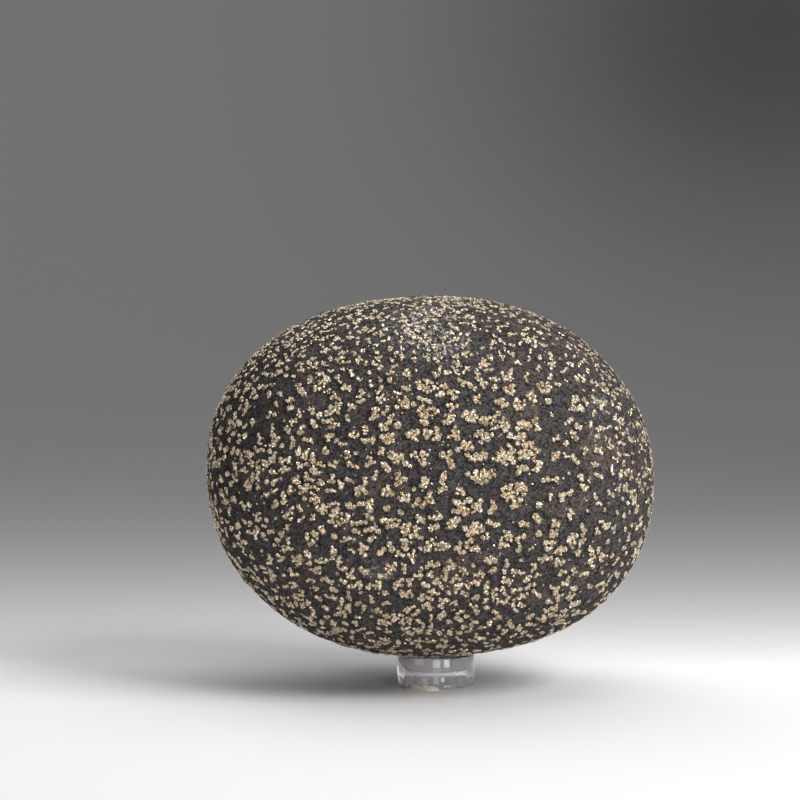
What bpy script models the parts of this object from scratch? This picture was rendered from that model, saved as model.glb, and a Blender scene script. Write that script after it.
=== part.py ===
"""A pyrite concretion: a dark oval stone studded with raised pyrite, standing on edge on a clear ring.

Metres, +Z up. The origin lies on the surface that the ring stands on, under the middle of the
stone. The stone's length runs along X and its broad face looks along -Y.
"""

import math

import bmesh
import bpy
import numpy as np
from mathutils import Vector
from mathutils.geometry import delaunay_2d_cdt

MM = 0.001
SEED = 42

# The stone without its lumps: half sizes, the powers of its outline and of its section, how far it
# leans, and a slight four-cornered swell of its outline
HALF_WIDTH = 46.0 * MM
HALF_DEPTH = 30.6 * MM
HALF_HEIGHT = 37.0 * MM
OUTLINE_POWER = 2.14
SECTION_POWER = 2.5
LEAN = math.radians(-2.5)
SWELL = 0.35 * MM
SWELL_CORNER = math.radians(60)

# The clear ring that holds the stone, and the gap that keeps touching pieces apart
RING_X = 1.2 * MM
RING_RADIUS = 8.0 * MM
RING_BORE = 4.4 * MM
RING_HEIGHT = 6.4 * MM
RING_CHAMFER = 0.2 * MM
BEVEL_WIDTH = 2.9 * MM
BEVEL_HEIGHT = 3.3 * MM
RING_STEPS = 40
GAP = 0.3 * MM

# The dab of putty pressed against the ring's foot: angles round the ring, from -Y towards +X
DAB_FROM = math.radians(-45)
DAB_TO = math.radians(5)
DAB_WIDTH = 1.1 * MM
DAB_HEIGHT = 1.2 * MM
DAB_DIP = 0.35

# Pyrite nodules: the range of their radius, the extra radius of a landmark's, and how far apart the
# clusters start and stay
NODULE_RADIUS = 0.41 * MM
NODULE_SPREAD = 0.34 * MM
LANDMARK_EXTRA = 0.05 * MM
LANDMARK_GAP = 0.12 * MM
SEED_DARTS = 14000
SEED_SPACING = 2.82 * MM
CLUSTER_GAP = 0.16 * MM
NEIGHBOUR_REACH = 8 * MM

# Lumps, each a cluster as one solid form: how high it stands amid a broad face and how much less
# near the rim, how many points all of them may have, and the share of its foot that its top covers
LUMP_HEIGHT = 0.52 * MM
RIM_FLATTENING = 0.45
LUMP_POINTS = 3500
LUMP_CLEARANCE = 0.2 * MM
SMALLEST_REACH = 0.5 * MM
LARGE_LUMP = 2.4 * MM
TOP_SHARE = 0.68

# The bare patch where the stone meets the ring
PATCH_RADIUS = 8.8 * MM
PATCH_HEIGHT = -35.9 * MM

# The largest clusters of the broad face as they are seen from a little above: how far to the right
# and how high, width and height, in millimetres
VIEW_DISTANCE = 600 * MM
VIEW_HEIGHT = math.radians(6.4)
LANDMARKS = (
    (15.4, 4.0, 6.0, 5.4), (20.3, 5.0, 5.0, 4.8), (9.8, 3.9, 5.4, 2.6), (10.6, 0.0, 7.2, 3.4),
    (17.2, -3.7, 6.2, 5.8), (14.3, 10.9, 4.8, 4.6), (11.1, 8.4, 4.6, 3.6), (19.2, 10.2, 3.6, 2.6),
    (18.4, 14.6, 3.4, 3.0), (20.9, 16.2, 3.4, 3.2), (23.6, 18.2, 3.8, 3.0), (16.3, 17.8, 3.4, 2.4),
    (13.2, 18.0, 1.9, 2.1), (14.4, 14.9, 3.4, 2.1), (-0.3, 18.4, 7.2, 3.2), (4.8, 17.0, 3.0, 3.0),
    (9.6, 15.8, 2.6, 2.4), (-5.4, 14.7, 5.0, 3.2), (-0.7, 12.8, 5.4, 4.4), (4.6, 14.1, 2.7, 2.5),
    (1.4, 8.4, 2.2, 3.1), (-3.4, 8.4, 3.0, 3.0), (-8.6, 7.6, 3.7, 3.1), (-1.9, 3.7, 4.3, 3.4),
    (-7.1, 3.7, 3.7, 3.0), (-6.3, -0.8, 3.0, 4.0), (-1.3, -1.3, 2.2, 3.0), (-8.2, -9.7, 5.3, 2.9),
    (-18.9, -8.6, 5.4, 4.5), (4.8, -9.8, 3.4, 3.2), (0.8, -14.6, 7.0, 2.9), (9.4, -15.2, 2.8, 2.0),
    (0.4, -18.3, 3.3, 2.2), (6.7, -19.8, 2.6, 2.2), (29.2, -13.2, 3.0, 3.8), (24.5, -14.2, 3.0, 3.0),
    (25.3, -28.7, 2.4, 1.8), (31.2, -0.2, 2.0, 2.2), (40.4, -2.4, 1.6, 2.6), (-31.4, -13.3, 1.8, 2.0),
)

# Bedding planes that come out near the rim as small steps: how far each lies from the middle in Y,
# the middle and half of its stretch round the rim in degrees, and the height of its step, in
# millimetres
BEDS = (
    (-17.1, -38, 36, 0.52), (-13.4, -52, 26, 0.38), (-9.3, -46, 44, 0.52), (-15.5, 2, 17, 0.36),
    (-12.1, 38, 34, 0.34), (-6.8, 18, 50, 0.38), (-16.1, 66, 20, 0.28), (-9.8, 208, 36, 0.32),
    (-4.4, 165, 44, 0.34), (4.6, 84, 62, 0.36), (7.1, 262, 50, 0.38), (12.3, 350, 60, 0.42),
    (16.3, 196, 58, 0.38),
)
BED_WANDER = 0.55 * MM
BED_EDGE = 0.13 * MM
BED_RECOVERY = 3.2 * MM
BED_SPACING = 3.4 * MM
BED_CLEARANCE = 0.15 * MM

# Broad unevenness of the stone, and the spread of the points on its bare parts
UNEVENNESS = 0.11 * MM
UNEVEN_WAVE = 9 * MM
BARE_POINTS = 400
BARE_CLEARANCE = 1.1 * MM
BARE_MARGIN = 0.2 * MM


def ramp(value, low, high):
    """0 below low, 1 above high, and a smooth rise between them."""
    t = np.clip((value - low) / (high - low), 0, 1)
    return t * t * (3 - 2 * t)


def unit(points):
    return points / np.linalg.norm(points, axis=-1, keepdims=True)


def bare_radius(u):
    """Distance from the stone's middle to its smooth form along the unit vectors u: a round-shouldered
    oval in X and Z, and sections through Y with fuller shoulders."""
    x = u[..., 0] * math.cos(LEAN) + u[..., 2] * math.sin(LEAN)
    z = -u[..., 0] * math.sin(LEAN) + u[..., 2] * math.cos(LEAN)
    oval = np.abs(x / HALF_WIDTH) ** OUTLINE_POWER + np.abs(z / HALF_HEIGHT) ** OUTLINE_POWER
    section = oval ** (SECTION_POWER / OUTLINE_POWER) + np.abs(u[..., 1] / HALF_DEPTH) ** SECTION_POWER
    radius = section ** (-1 / SECTION_POWER)
    girth = 1 - u[..., 1] ** 2
    turn = np.arctan2(u[..., 2], u[..., 0])
    return radius + SWELL * girth**2 * np.cos(4 * (turn - SWELL_CORNER))


def onto(points):
    """The points moved along their own directions onto the smooth form."""
    u = unit(points)
    return u * bare_radius(u)[..., None]


def other_half(share):
    """How far out the section is along one axis, where it is this far out along the other: both are
    shares of its half sizes."""
    return max(0.0, 1 - share**SECTION_POWER) ** (1 / SECTION_POWER)


def front_point(x, z):
    """The point of the broad face at this x and z."""
    rim = onto(np.array((x, 0.0, z)))
    share = math.hypot(x, z) / math.sqrt(rim @ rim)
    return onto(np.array((x, -HALF_DEPTH * other_half(share), z)))


def seen_point(right, up):
    """The point of the broad face that is seen this far to the right and this high."""
    eye = VIEW_DISTANCE * np.array((0, -math.cos(VIEW_HEIGHT), math.sin(VIEW_HEIGHT)))
    target = np.array((right, up * math.sin(VIEW_HEIGHT), up * math.cos(VIEW_HEIGHT)))
    near, far = 0.0, 2 * HALF_DEPTH / VIEW_DISTANCE
    for _ in range(24):
        middle = (near + far) / 2
        point = target + middle * (eye - target)
        if np.linalg.norm(point) < bare_radius(unit(point)):
            near = middle
        else:
            far = middle
    return point


def bed_wander(turn, index):
    """How far a bedding plane wanders in Y at this angle round the rim."""
    return BED_WANDER * (0.6 * np.sin(3 * turn + 1.7 * index) + 0.4 * np.sin(8 * turn + 2.9 * index))


def bed_strength(turn, middle, half):
    """1 amid a bedding plane's stretch of rim, fading to 0 at its ends."""
    away = np.abs((np.degrees(turn) - middle + 180) % 360 - 180)
    return 1 - ramp(away, 0.6 * half, half)


def surface_radius(u):
    """The smooth form with its bedding steps and its broad unevenness."""
    radius = bare_radius(u)
    points = u * radius[..., None]
    turn = np.arctan2(u[..., 2], u[..., 0])
    for index, (level, middle, half, step) in enumerate(BEDS):
        towards_rim = points[..., 1] + bed_wander(turn, index) - level * MM
        if level > 0:
            towards_rim = -towards_rim
        drop = ramp(towards_rim, -BED_EDGE, BED_EDGE) * (1 - ramp(towards_rim, BED_EDGE, BED_RECOVERY))
        radius = radius - step * MM * drop * bed_strength(turn, middle, half)
    waves = points / UNEVEN_WAVE
    uneven = (
        np.sin(waves[..., 0] * 1.3 + 2.1 * np.sin(waves[..., 2]))
        * np.sin(waves[..., 2] * 1.1 + 1.7 * np.sin(waves[..., 1] + 1.0))
        * np.cos(waves[..., 1] * 0.9 + 0.8 * np.sin(waves[..., 0]))
    )
    return radius + UNEVENNESS * uneven


def hill(points, x, z, width, height):
    """A smooth hump of 1 at x, z (in millimetres)."""
    return np.exp(-(((points[..., 0] / MM - x) / width) ** 2) - ((points[..., 2] / MM - z) / height) ** 2)


def coarseness(points):
    """Size of the nodules: largest amid each broad face, finest at the crown and the right end."""
    front = ramp(-points[..., 1], -5 * MM, 5 * MM)
    amid = hill(points, 7, 4, 24, 18) * front + hill(points, -10, 3, 22, 20) * (1 - front)
    crown = ramp(points[..., 2], 17 * MM, 29 * MM)
    heel = ramp(-points[..., 2], 16 * MM, 30 * MM)
    right = ramp(points[..., 0], 24 * MM, 38 * MM) * ramp(points[..., 2], -18 * MM, 0)
    left = ramp(-points[..., 0], 16 * MM, 34 * MM)
    face = 0.67 + 0.29 * amid
    return face * (1 - 0.4 * crown) * (1 - 0.12 * heel) * (1 - 0.36 * right) * (1 - 0.14 * left)


def sparseness(points):
    """Spacing of the clusters: bald at the upper and lower right and the foot, lush on the crown and left."""
    front = ramp(-points[..., 1], -5 * MM, 5 * MM)
    bald = 0.4 * hill(points, 25, 27, 16, 10) + 0.22 * hill(points, 34, -10, 11, 15)
    bald += 0.16 * hill(points, 10, -36, 30, 6)
    lush = 0.14 * hill(points, -4, 30, 20, 9) + 0.18 * hill(points, -24, 1, 17, 14)
    lush += 0.12 * hill(points, -2, -23, 26, 7)
    return 1 + (bald - lush) * front


def proudness(points):
    """How far the pyrite stands out, as a share: it is flush towards the rim."""
    away = np.hypot(points[..., 0] / HALF_WIDTH, points[..., 2] / HALF_HEIGHT)
    return 1 - RIM_FLATTENING * ramp(away, 0.7, 0.94)


def on_patch(point):
    """True where the ring holds the stone."""
    return math.hypot(point[0] - RING_X, point[1]) < PATCH_RADIUS and point[2] < PATCH_HEIGHT


class Growth:
    """Nodules in the order they grew: where each sits on the smooth form, its radius and its cluster."""

    def __init__(self, room=24000):
        self.points = np.empty((room, 3))
        self.radii = np.empty(room)
        self.clusters = np.empty(room, int)
        self.count = 0

    def add(self, point, radius, cluster):
        self.points[self.count] = point
        self.radii[self.count] = radius
        self.clusters[self.count] = cluster
        self.count += 1

    def meets(self, rows, point, radius, share=1.0, gap=0.0):
        """True where the nodule would come nearer to one of these rows than their radii allow."""
        away = np.linalg.norm(self.points[rows] - point, axis=1)
        return bool((away < (self.radii[rows] + radius) * share + gap).any())


def grow_landmark(growth, rng, cluster, x, z, width, height):
    """Fills a three-lobed oval of the broad face with nodules that overlap by a third."""
    middle = seen_point(x * MM, z * MM)
    coarse = coarseness(middle)
    first = growth.count
    for _ in range(int(14 + 5 * width * height)):
        outward, around, size = rng.random_sample(3)
        radius = coarse * (NODULE_RADIUS + LANDMARK_EXTRA + NODULE_SPREAD * size)
        turn = 2 * math.pi * around
        reach = math.sqrt(outward) * (0.86 + 0.2 * math.cos(3 * turn + x))
        point = front_point(
            middle[0] + (width * MM / 2 - 0.7 * radius) * reach * math.cos(turn),
            middle[2] + (height * MM / 2 - 0.7 * radius) * reach * math.sin(turn),
        )
        crowded = growth.meets(slice(first, growth.count), point, radius, share=0.7)
        if crowded or growth.meets(slice(0, first), point, radius, gap=LANDMARK_GAP):
            continue
        growth.add(point, radius, cluster)


def scattered_seeds(rng):
    """Where the other clusters start: random darts, each kept if it is far enough from those before."""
    points = onto(rng.normal(size=(SEED_DARTS, 3)))
    spacing = SEED_SPACING * coarseness(points) * sparseness(points)
    kept = []
    for index, point in enumerate(points):
        if (np.sum((points[kept] - point) ** 2, axis=1) > spacing[index] ** 2).all():
            kept.append(index)
    return points[kept]


def nodules_in(draw):
    """How many nodules a cluster has: many are single grains or pairs, a few are large rosettes."""
    if draw[0] < 0.28:
        return 1 + int(draw[1] * 2)
    if draw[0] < 0.66:
        return 3 + int(draw[1] * 3)
    if draw[0] < 0.94:
        return 6 + int(draw[1] * 3)
    return 9 + int(draw[1] * 6)


def grow_cluster(growth, rng, cluster, seed):
    """Budding from a seed: each nodule sprouts from an earlier one, mostly along one heading."""
    draw = rng.random_sample(3)
    count = nodules_in(draw)
    heading = draw[2] * 2 * math.pi
    coarse = coarseness(seed)
    near = np.nonzero(np.abs(growth.points[: growth.count] - seed).max(axis=1) < NEIGHBOUR_REACH)[0]
    side = unit(np.cross(seed, (0.31, 0.9, 0.2)))
    other = np.cross(unit(seed), side)
    first = growth.count
    for number in range(count):
        radius = coarse * (NODULE_RADIUS + NODULE_SPREAD * rng.random_sample())
        if count < 3:
            radius *= 1.3
        for _ in range(8):
            swerve, parent, back = rng.random_sample(3)
            point = seed
            if number:
                base = first + int(parent * (growth.count - first))
                turn = heading + (swerve - 0.5) * 4.6 + (math.pi if back < 0.4 else 0)
                step = (growth.radii[base] + radius) * 0.8
                point = onto(growth.points[base] + step * (math.cos(turn) * side + math.sin(turn) * other))
            blocked = growth.meets(near, point, radius, gap=CLUSTER_GAP) or on_patch(point)
            if not blocked and not growth.meets(slice(first, growth.count), point, radius, share=0.66):
                growth.add(point, radius, cluster)
                break
            if not number:
                break
        if growth.count == first:
            return


def grow_pyrite():
    rng = np.random.RandomState(SEED)
    growth = Growth()
    for cluster, landmark in enumerate(LANDMARKS):
        grow_landmark(growth, rng, cluster, *landmark)
    for cluster, seed in enumerate(scattered_seeds(rng), len(LANDMARKS)):
        grow_cluster(growth, rng, cluster, seed)
    return growth


class Skin:
    """Directions from the stone's middle, how far out each stands above the surface, and the edges
    that the triangles must keep."""

    def __init__(self):
        self.directions = []
        self.heights = []
        self.edges = []

    def add(self, directions, height):
        """Adds points and returns the numbers they get."""
        first = len(self.heights)
        self.directions.extend(directions)
        self.heights.extend([height] * len(directions))
        return list(range(first, len(self.heights)))

    def keep_loop(self, numbers):
        self.edges.extend(zip(numbers, numbers[1:] + numbers[:1]))


class Lump:
    """A cluster of nodules as one flat-topped lump whose foot follows the nodules' edge."""

    def __init__(self, points, radii):
        self.middle = onto(points.mean(axis=0))
        self.side = unit(np.cross(self.middle, (0.31, 0.9, 0.2)))
        self.other = np.cross(unit(self.middle), self.side)
        across = (points - self.middle) @ self.side
        along = (points - self.middle) @ self.other
        area = float((radii**2).sum())
        self.prominence = area / float(coarseness(self.middle)) ** 1.3
        self.sides = 8 if area > LARGE_LUMP**2 else 6
        self.turns = np.arange(self.sides) * 2 * math.pi / self.sides
        reaches = np.array([self.reach(turn, across, along, radii) for turn in self.turns])
        self.reaches = 0.64 * reaches + 0.18 * (np.roll(reaches, 1) + np.roll(reaches, -1))

    @staticmethod
    def reach(turn, across, along, radii):
        """How far the nodules go out from the middle in one direction."""
        ahead = across * math.cos(turn) + along * math.sin(turn)
        aside = -across * math.sin(turn) + along * math.cos(turn)
        met = np.abs(aside) < radii
        ends = (ahead + np.sqrt(np.maximum(radii**2 - aside**2, 0)))[met]
        return float(max(ends.max(initial=0.0), SMALLEST_REACH))

    def ring(self, turns, reaches):
        offsets = np.cos(turns)[:, None] * self.side + np.sin(turns)[:, None] * self.other
        return unit(self.middle + offsets * reaches[:, None])

    def feet(self):
        return onto(self.ring(self.turns, self.reaches))

    def add_to(self, skin):
        foot = skin.add(self.ring(self.turns, self.reaches), 0.0)
        skin.keep_loop(foot)
        inner = self.turns[: self.sides - 2] * self.sides / (self.sides - 2)
        reaches = np.interp(inner, self.turns, self.reaches, period=2 * math.pi)
        top = skin.add(self.ring(inner, reaches * TOP_SHARE), LUMP_HEIGHT * float(proudness(self.middle)))
        skin.keep_loop(top)


def choose_lumps(growth):
    """The clusters that stand out most where they grow and stay clear of each other and of the ring,
    up to the points allowed."""
    clusters = growth.clusters[: growth.count]
    lumps = []
    for number in np.unique(clusters):
        rows = np.nonzero(clusters == number)[0]
        lumps.append(Lump(growth.points[rows], growth.radii[rows]))
    lumps.sort(key=lambda lump: -lump.prominence)
    kept, feet, spent = [], np.empty((0, 3)), 0
    for lump in lumps:
        middles = np.array([other.middle for other in kept]).reshape(-1, 3)
        means = np.array([other.reaches.mean() for other in kept])
        apart = np.linalg.norm(middles - lump.middle, axis=1) > means + lump.reaches.mean() + LUMP_CLEARANCE
        own_feet = lump.feet()
        foot_gaps = np.linalg.norm(feet[:, None] - own_feet, axis=2)
        if not apart.all() or (foot_gaps < LUMP_CLEARANCE).any() or any(map(on_patch, own_feet)):
            continue
        kept.append(lump)
        feet = np.concatenate([feet, own_feet])
        spent += 2 * lump.sides - 2
        if spent > LUMP_POINTS:
            break
    return kept


def clear_of(lumps, points, margin):
    """Which of these points lie outside every lump by at least the margin."""
    clear = np.ones(len(points), bool)
    for lump in lumps:
        clear &= np.linalg.norm(points - lump.middle, axis=1) > lump.reaches.max() + margin
    return clear


def add_beds(skin, lumps):
    """Each bedding step as two rows of points: the lip above it and the foot below it."""
    for index, (level, middle, half, _) in enumerate(BEDS):
        shrink = other_half(abs(level) * MM / HALF_DEPTH)
        length = math.radians(2 * half) * 0.5 * (HALF_WIDTH + HALF_HEIGHT) * shrink
        ends = (middle - 0.9 * half, middle + 0.9 * half)
        turns = np.radians(np.linspace(*ends, round(length / BED_SPACING)))
        rim = onto(np.stack([np.cos(turns), 0 * turns, np.sin(turns)], axis=1)) * shrink
        wander = bed_wander(turns, index)
        for edge in (-BED_EDGE, BED_EDGE):
            row = rim.copy()
            row[:, 1] = level * MM - wander + (edge if level < 0 else -edge)
            row = onto(row)
            clear = clear_of(lumps, row, BED_CLEARANCE)
            numbers = np.full(len(row), -1)
            numbers[clear] = skin.add(unit(row[clear]), 0.0)
            for one, two in zip(numbers[:-1], numbers[1:]):
                if one >= 0 and two >= 0:
                    skin.edges.append((int(one), int(two)))


def add_bare_points(skin, lumps):
    """An even spiral of points over the stone, left out where lumps and steps already have points."""
    number = np.arange(BARE_POINTS) + 0.5
    y = 1 - 2 * number / BARE_POINTS
    turn = number * math.pi * (3 - math.sqrt(5))
    girth = np.sqrt(1 - y * y)
    points = onto(np.stack([girth * np.cos(turn), y, girth * np.sin(turn)], axis=1))
    taken = onto(np.array(skin.directions))
    clear = clear_of(lumps, points, BARE_MARGIN)
    for index, point in enumerate(points):
        clear[index] &= bool((np.linalg.norm(taken - point, axis=1) > BARE_CLEARANCE).all())
    skin.add(unit(points[clear]), 0.0)


def skin_faces(skin):
    """Triangles over all directions: flattened from the pole at +Y, joined there as the plane's
    best triangles, then closed at the pole. Returns the directions, heights and faces."""
    directions = np.array(skin.directions)
    flat = directions[:, (0, 2)] / (1 - directions[:, 1:2])
    points, _, faces, origins, _, _ = delaunay_2d_cdt(
        [Vector(point) for point in flat], skin.edges, [], 0, 1e-7
    )
    plane = np.array(points)
    square = (plane**2).sum(axis=1, keepdims=True)
    lifted = np.concatenate([2 * plane[:, :1], square - 1, 2 * plane[:, 1:]], axis=1) / (square + 1)
    heights = np.array([skin.heights[origin[0]] if origin else 0.0 for origin in origins])
    pole = len(lifted)
    sides = {(a, b) for face in faces for a, b in zip(face, face[1:] + face[:1])}
    closing = [(b, a, pole) for a, b in sides if (b, a) not in sides]
    lifted = np.concatenate([lifted, [[0, 1, 0]]])
    return lifted, np.append(heights, 0.0), [tuple(face) for face in faces] + sorted(closing)


def contact_depth():
    """How far below the stone's middle it meets the level top of the ring."""
    reaches = np.linspace(RING_BORE + BEVEL_WIDTH, RING_RADIUS, 17)
    turns, reaches = np.meshgrid(np.linspace(0, 2 * math.pi, 181), reaches)
    down = np.full(turns.shape, -HALF_HEIGHT)
    points = np.stack([RING_X + reaches * np.cos(turns), reaches * np.sin(turns), down], axis=-1)
    return float(-onto(points)[..., 2].min())


def material(name, colour, roughness, metallic=0.0, alpha=1.0, transmission=0.0):
    made = bpy.data.materials.new(name)
    made.use_nodes = True
    shader = made.node_tree.nodes["Principled BSDF"]
    shader.inputs["Base Color"].default_value = (*colour, 1)
    shader.inputs["Roughness"].default_value = roughness
    shader.inputs["Metallic"].default_value = metallic
    shader.inputs["Alpha"].default_value = alpha
    shader.inputs["Transmission Weight"].default_value = transmission
    return made


def add_object(name, mesh, place, collection):
    made = bpy.data.objects.new(name, mesh)
    made.location = place
    collection.objects.link(made)
    return made


def make_stone(collection, middle):
    """The concretion, one closed solid: the oval stone with its bedding steps and its pyrite lumps.
    The lumps' tops carry the pyrite's own material."""
    growth = grow_pyrite()
    lumps = choose_lumps(growth)
    skin = Skin()
    for lump in lumps:
        lump.add_to(skin)
    add_beds(skin, lumps)
    add_bare_points(skin, lumps)
    directions, heights, faces = skin_faces(skin)
    points = directions * (surface_radius(directions) + heights)[:, None]
    mesh = bpy.data.meshes.new("concretion")
    mesh.from_pydata(points.tolist(), [], faces)
    mesh.materials.append(material("dark_shale", (0.052, 0.043, 0.04), 0.85))
    mesh.materials.append(material("pyrite", (0.42, 0.33, 0.22), 0.35, metallic=1.0))
    raised = [int(all(heights[corner] > 0 for corner in face)) for face in faces]
    mesh.polygons.foreach_set("material_index", raised)
    mesh.validate()
    return add_object("concretion", mesh, (0, 0, middle), collection)


def make_ring(collection):
    """The clear ring: a closed profile with chamfered corners and a bevelled seat, turned round its axis."""
    outer, bore, top, cut = RING_RADIUS, RING_BORE, RING_HEIGHT, RING_CHAMFER
    profile = [
        (outer - cut, 0, top), (outer, 0, top - cut), (outer, 0, cut), (outer - cut, 0, 0),
        (bore + cut, 0, 0), (bore, 0, cut), (bore, 0, top - BEVEL_HEIGHT), (bore + BEVEL_WIDTH, 0, top),
    ]
    edges = [(number, (number + 1) % len(profile)) for number in range(len(profile))]
    mesh = bpy.data.meshes.new("ring_stand")
    mesh.from_pydata(profile, edges, [])
    mesh.materials.append(material("clear_acrylic", (0.9, 0.9, 0.92), 0.08, alpha=0.35, transmission=1.0))
    ring = add_object("ring_stand", mesh, (RING_X, 0, 0), collection)
    screw = ring.modifiers.new("turned", "SCREW")
    screw.steps = screw.render_steps = RING_STEPS
    screw.use_merge_vertices = True
    screw.merge_threshold = 0.00001
    return ring


def make_dab(collection):
    """The putty dab: a ball drawn out along the ring's foot, flat below, with two humps on top."""
    cage = bmesh.new()
    bmesh.ops.create_icosphere(cage, subdivisions=3, radius=1.0)
    near = RING_RADIUS + GAP
    for vertex in cage.verts:
        along, across, up = vertex.co
        turn = DAB_FROM + (DAB_TO - DAB_FROM) * (along + 1) / 2
        reach = near + DAB_WIDTH * (1 - across) / 2
        humps = 1 - DAB_DIP * math.exp(-((along / 0.22) ** 2))
        vertex.co = (reach * math.sin(turn), -reach * math.cos(turn), DAB_HEIGHT * humps * max(up, 0.0))
    mesh = bpy.data.meshes.new("putty_dab")
    cage.to_mesh(mesh)
    cage.free()
    mesh.materials.append(material("putty", (0.58, 0.49, 0.3), 0.8))
    mesh.shade_smooth()
    return add_object("putty_dab", mesh, (RING_X, 0, 0), collection)


def main():
    for old in list(bpy.data.objects):
        bpy.data.objects.remove(old, do_unlink=True)
    collection = bpy.data.collections.new("pyrite_concretion")
    bpy.context.scene.collection.children.link(collection)
    make_ring(collection)
    make_dab(collection)
    make_stone(collection, RING_HEIGHT + GAP + contact_depth())


main()
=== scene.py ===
"""The looks of a pyrite concretion that stands on its edge on a clear ring.

Metres, +Z up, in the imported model's own frame. The stone is rebuilt as a fine surface with bedding
steps and grain, the pyrite as thousands of faceted nodules and crystals that grow where the solids
have their lumps, the ring as a polished turned tube, and the putty as a kneaded dab.
"""

import itertools
import logging
import math
from dataclasses import dataclass, field
from enum import Enum
from typing import Any, Iterable, Sequence

import bpy
import numpy as np
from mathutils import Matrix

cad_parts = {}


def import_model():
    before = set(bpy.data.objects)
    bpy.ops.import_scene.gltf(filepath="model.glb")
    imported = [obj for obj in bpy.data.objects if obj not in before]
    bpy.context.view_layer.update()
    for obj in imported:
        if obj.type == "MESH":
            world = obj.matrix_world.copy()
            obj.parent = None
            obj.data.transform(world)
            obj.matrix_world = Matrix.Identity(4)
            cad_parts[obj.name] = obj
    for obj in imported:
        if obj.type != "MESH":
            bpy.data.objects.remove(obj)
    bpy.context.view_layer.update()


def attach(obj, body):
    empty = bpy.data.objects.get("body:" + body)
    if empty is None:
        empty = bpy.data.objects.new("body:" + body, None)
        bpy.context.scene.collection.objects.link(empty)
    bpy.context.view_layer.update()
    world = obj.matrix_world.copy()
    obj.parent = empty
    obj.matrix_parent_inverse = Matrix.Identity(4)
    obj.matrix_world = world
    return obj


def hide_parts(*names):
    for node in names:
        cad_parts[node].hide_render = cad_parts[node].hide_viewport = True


MM = 0.001
LOG = logging.getLogger("pyrite_concretion")

# The camera as it is assumed for the photo: its distance, and how far above the level it looks from
CAMERA_DISTANCE = 600 * MM
CAMERA_RISE = math.radians(6.4)
# The gap that the solids keep between the stone and its ring
REST_GAP = 0.3 * MM
# A fixed direction that tangents are made from; no nodule's normal lies exactly along it
ASIDE = (0.31, 0.9, 0.2)

Array = np.ndarray
Colour = tuple[float, float, float]
Socket = bpy.types.NodeSocket


class Slot(Enum):
    """The record's material slots."""

    SHALE = "dark_shale"
    PYRITE = "pyrite"
    ACRYLIC = "clear_acrylic"
    PUTTY = "putty"


def ramp(value: Array, low: float, high: float) -> Array:
    """A smooth rise: t squared times three minus two t, with t from 0 at low to 1 at high.

    Args:
        value: Numbers to map.
        low: Where the rise starts.
        high: Where it ends.

    Returns:
        Numbers from 0 to 1.
    """
    t = np.clip((value - low) / (high - low), 0, 1)
    return t * t * (3 - 2 * t)


def unit(points: Array) -> Array:
    """Vectors divided by their lengths."""
    return points / np.linalg.norm(points, axis=-1, keepdims=True)


def hill(points: Array, x: float, z: float, width: float, height: float) -> Array:
    """A smooth hump of 1 at x, z: e to the minus of both offsets over its sizes, squared.

    Args:
        points: Points in metres.
        x: Its middle, in millimetres.
        z: Its middle, in millimetres.
        width: Its reach along X, in millimetres.
        height: Its reach along Z, in millimetres.

    Returns:
        The hump's value at each point.
    """
    across = (points[..., 0] / MM - x) / width
    up = (points[..., 2] / MM - z) / height
    return np.exp(-(across**2) - up**2)


def lattice_noise(points: Array, size: float, seed: int) -> Array:
    """Smooth noise: random numbers at the corners of a cubic lattice, blended across each cube.

    Args:
        points: Points in metres.
        size: The side of a cube of the lattice.
        seed: Which random numbers the corners get.

    Returns:
        Numbers from -1 to 1.
    """
    scaled = points / size
    cell = np.floor(scaled).astype(np.int64)
    part = scaled - cell
    part = part * part * (3 - 2 * part)
    total = np.zeros(points.shape[:-1])
    for corner in itertools.product((0, 1), repeat=3):
        steps = cell + np.array(corner)
        mixed = (steps[..., 0] * 73856093) ^ (steps[..., 1] * 19349663) ^ (steps[..., 2] * 83492791)
        mixed = (mixed + seed * 2654435761) & 0xFFFFFFFF
        mixed = ((mixed ^ (mixed >> 15)) * 2246822519) & 0xFFFFFFFF
        mixed = ((mixed ^ (mixed >> 13)) * 3266489917) & 0xFFFFFFFF
        share = np.prod(np.where(np.array(corner) == 1, part, 1 - part), axis=-1)
        total += share * ((mixed ^ (mixed >> 16)) / 0x7FFFFFFF - 1)
    return total


def add_mesh(name: str, points: Array, groups: Sequence[Array], smooth: bool) -> bpy.types.Object:
    """Makes an object from arrays of points and of faces.

    Args:
        name: The piece's name.
        points: Its points, in metres.
        groups: Arrays of faces, each with one number of corners.
        smooth: True for smooth shading, False for facets.

    Returns:
        The object, at the origin.
    """
    mesh = bpy.data.meshes.new(name)
    mesh.vertices.add(len(points))
    mesh.vertices.foreach_set("co", points.astype(np.float32).ravel())
    corners = np.concatenate([group.ravel() for group in groups])
    totals = np.concatenate([np.full(len(group), group.shape[1]) for group in groups])
    mesh.loops.add(len(corners))
    mesh.loops.foreach_set("vertex_index", corners.astype(np.int32))
    mesh.polygons.add(len(totals))
    mesh.polygons.foreach_set("loop_start", (np.cumsum(totals) - totals).astype(np.int32))
    mesh.polygons.foreach_set("loop_total", totals.astype(np.int32))
    mesh.polygons.foreach_set("use_smooth", np.full(len(totals), smooth))
    mesh.update(calc_edges=True)
    piece = bpy.data.objects.new(name, mesh)
    bpy.context.scene.collection.objects.link(piece)
    return piece


def set_attribute(piece: bpy.types.Object, name: str, values: Array) -> None:
    """Stores one number for each of the piece's points.

    Args:
        piece: The piece.
        name: The attribute's name, which its material reads.
        values: One number a point.
    """
    attribute = piece.data.attributes.new(name, "FLOAT", "POINT")
    attribute.data.foreach_set("value", values.astype(np.float32).ravel())


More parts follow.
